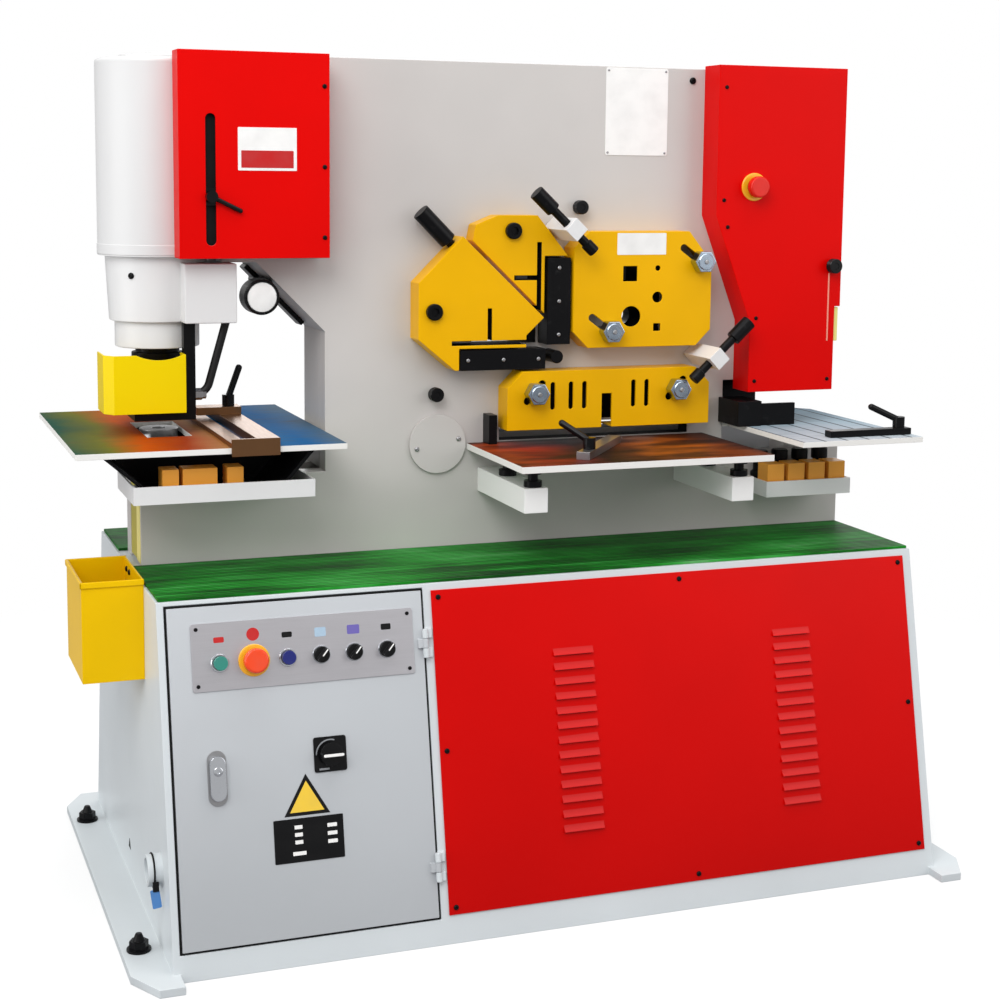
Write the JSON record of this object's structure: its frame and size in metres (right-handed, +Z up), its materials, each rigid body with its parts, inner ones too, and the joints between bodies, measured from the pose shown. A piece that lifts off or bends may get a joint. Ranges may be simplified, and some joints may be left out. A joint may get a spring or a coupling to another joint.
{
  "type": "ironworker machine",
  "caption": "Hydraulic ironworker on a welded base: punch at the left, angle, section and flat shears in the middle, notcher at the right.",
  "frame": {"origin": "middle of the base on the floor", "axes": "+X along the machine to the right of a person who faces the doors, +Y away from that person, +Z up"},
  "size_m": [1.576, 0.938, 1.475],
  "materials": {
    "base_grey": "semi-gloss",
    "body_grey": "semi-gloss",
    "white_paint": "gloss",
    "red_paint": "gloss",
    "guard_yellow": "gloss",
    "bin_yellow": "gloss",
    "green_mat": "ribbed",
    "black_steel": "satin",
    "black_plastic": "satin",
    "steel": "machined",
    "table_steel": "ground",
    "knob_grey": "satin",
    "lock_chrome": "bright",
    "tool_orange": "gloss",
    "hose_rubber": "matte",
    "green_plastic": "gloss",
    "blue_plastic": "gloss",
    "red_plastic": "gloss",
    "pack_grey": "semi-gloss",
    "gear_grey": "satin"
  },
  "bodies": {
    "base": {"base_frame": "base_grey", "front_plate": "body_grey", "rear_plate": "body_grey", "pivot_pin": "body_grey", "punch_cylinder": "white_paint", "punch_guide": "white_paint", "tool_trays": "white_paint", "table_arms": "white_paint", "holddown_blocks": "white_paint", "louvre_panel": "red_paint", "punch_cover": "red_paint", "notch_cover": "red_paint", "angle_guards": "guard_yellow", "bin": "bin_yellow", "stripper_guard": "bin_yellow", "mat": "green_mat", "foot_bolts": "black_steel", "fixed_blades": "black_steel", "stripper": "black_steel", "tool_box": "black_steel", "notch_guard": "black_steel", "table_screws": "black_steel", "lamp": "black_plastic", "die_block": "steel", "notch_die": "steel", "shear_fence": "steel", "punch_rails": "steel", "punch_table": "table_steel", "shear_table": "table_steel", "notch_table": "table_steel", "guard_knobs": "knob_grey", "tool_blocks": "tool_orange", "hose": "hose_rubber", "power_pack": "pack_grey", "shear_cylinder": "pack_grey", "switchgear": "gear_grey"},
    "shear_beam": {"shear_beam": "steel"},
    "notch_ram": {"notch_ram": "steel"},
    "punch_ram": {"punch_ram": "black_steel", "punch": "steel"},
    "stroke_lever": {"stroke_lever": "black_plastic"},
    "section_guard": {"section_guard": "guard_yellow"},
    "flat_guard": {"flat_guard": "guard_yellow"},
    "screw_a": {"screw_a": "black_steel"},
    "screw_b": {"screw_b": "black_steel"},
    "screw_c": {"screw_c": "black_steel"},
    "notch_stop": {"notch_stop": "black_steel"},
    "notch_lever": {"notch_lever": "black_plastic"},
    "gauge_lever": {"gauge_lever": "black_plastic"},
    "fence_lever": {"fence_lever": "black_plastic"},
    "notch_estop": {"notch_estop": "red_plastic"},
    "door": {"door": "base_grey"},
    "green_button": {"green_button": "green_plastic"},
    "blue_button": {"blue_button": "blue_plastic"},
    "estop_button": {"estop_button": "red_plastic"},
    "selector_a": {"selector_a": "black_plastic"},
    "selector_b": {"selector_b": "black_plastic"},
    "selector_c": {"selector_c": "black_plastic"},
    "door_lock": {"door_lock": "lock_chrome"},
    "switch_handle": {"switch_handle": "black_plastic"}
  },
  "joints": [
    {"name": "door_hinge", "type": "hinge", "parent": "base", "child": "door", "pos_m": [-0.256, -0.43642, 0.00177], "axis": [0, 0.2054, 0.9787], "range_deg": [0, 120]},
    {"name": "beam_pivot", "type": "hinge", "parent": "base", "child": "shear_beam", "pos_m": [-0.141, 0.035, 0.781], "axis": [0, 1, 0], "range_deg": [0, 2.5]},
    {"name": "notch_ram_slide", "type": "slide", "parent": "base", "child": "notch_ram", "axis": [0, 0, -1], "range_m": [0, 0.0285]},
    {"name": "punch_slide", "type": "slide", "parent": "base", "child": "punch_ram", "axis": [0, 0, -1], "range_m": [0, 0.052]},
    {"name": "stroke_slide", "type": "slide", "parent": "base", "child": "stroke_lever", "axis": [0, 0, 1], "range_m": [-0.06, 0.12]},
    {"name": "section_guard_slide", "type": "slide", "parent": "base", "child": "section_guard", "axis": [0.809, 0, -0.5878], "range_m": [0, 0.008]},
    {"name": "flat_guard_slide", "type": "slide", "parent": "base", "child": "flat_guard", "axis": [-0.682, 0, -0.7314], "range_m": [0, 0.016]},
    {"name": "screw_a_feed", "type": "slide", "parent": "base", "child": "screw_a", "axis": [0.7071, 0, -0.7071], "range_m": [-0.006, 0.006]},
    {"name": "screw_b_feed", "type": "slide", "parent": "base", "child": "screw_b", "axis": [0.7314, 0, -0.682], "range_m": [-0.012, 0.012]},
    {"name": "screw_c_feed", "type": "slide", "parent": "base", "child": "screw_c", "axis": [-0.7314, 0, -0.682], "range_m": [-0.012, 0.012]},
    {"name": "notch_stop_slide", "type": "slide", "parent": "base", "child": "notch_stop", "axis": [0, 1, 0], "range_m": [-0.03, 0.06]},
    {"name": "notch_lever_turn", "type": "hinge", "parent": "notch_stop", "child": "notch_lever", "pos_m": [0.676, -0.289, 0.8124], "axis": [0, 0, 1], "range_deg": [-40, 40]},
    {"name": "gauge_lever_turn", "type": "hinge", "parent": "base", "child": "gauge_lever", "pos_m": [-0.5, 0.08, 0.849], "axis": [0, 0, 1], "range_deg": [-60, 60]},
    {"name": "fence_lever_turn", "type": "hinge", "parent": "base", "child": "fence_lever", "pos_m": [0.0689, -0.25516, 0.794], "axis": [0, 0, 1], "range_deg": [-60, 60]},
    {"name": "notch_estop_press", "type": "slide", "parent": "base", "child": "notch_estop", "axis": [0, 1, 0], "range_m": [0, 0.005]},
    {"name": "green_press", "type": "slide", "parent": "door", "child": "green_button", "axis": [0, 0.9787, -0.2054], "range_m": [0, 0.004], "stiffness_N_per_m": 500, "springref_m": -0.002},
    {"name": "blue_press", "type": "slide", "parent": "door", "child": "blue_button", "axis": [0, 0.9787, -0.2054], "range_m": [0, 0.004], "stiffness_N_per_m": 500, "springref_m": -0.002},
    {"name": "estop_press", "type": "slide", "parent": "door", "child": "estop_button", "axis": [0, 0.9787, -0.2054], "range_m": [0, 0.005]},
    {"name": "selector_a_turn", "type": "hinge", "parent": "door", "child": "selector_a", "pos_m": [-0.435, -0.32905, 0.48604], "axis": [0, -0.9787, 0.2054], "range_deg": [-45, 45]},
    {"name": "selector_b_turn", "type": "hinge", "parent": "door", "child": "selector_b", "pos_m": [-0.379, -0.32905, 0.48604], "axis": [0, -0.9787, 0.2054], "range_deg": [-45, 45]},
    {"name": "selector_c_turn", "type": "hinge", "parent": "door", "child": "selector_c", "pos_m": [-0.323, -0.32905, 0.48604], "axis": [0, -0.9787, 0.2054], "range_deg": [-45, 45]},
    {"name": "lock_turn", "type": "hinge", "parent": "door", "child": "door_lock", "pos_m": [-0.616, -0.36417, 0.31868], "axis": [0, -0.9787, 0.2054], "range_deg": [0, 90]},
    {"name": "main_switch_turn", "type": "hinge", "parent": "door", "child": "switch_handle", "pos_m": [-0.429, -0.36233, 0.32749], "axis": [0, -0.9787, 0.2054], "range_deg": [0, 90]}
  ],
  "couplings": [
    {"joint": "notch_ram_slide", "follows": "beam_pivot", "m_per_rad": 0.646}
  ]
}
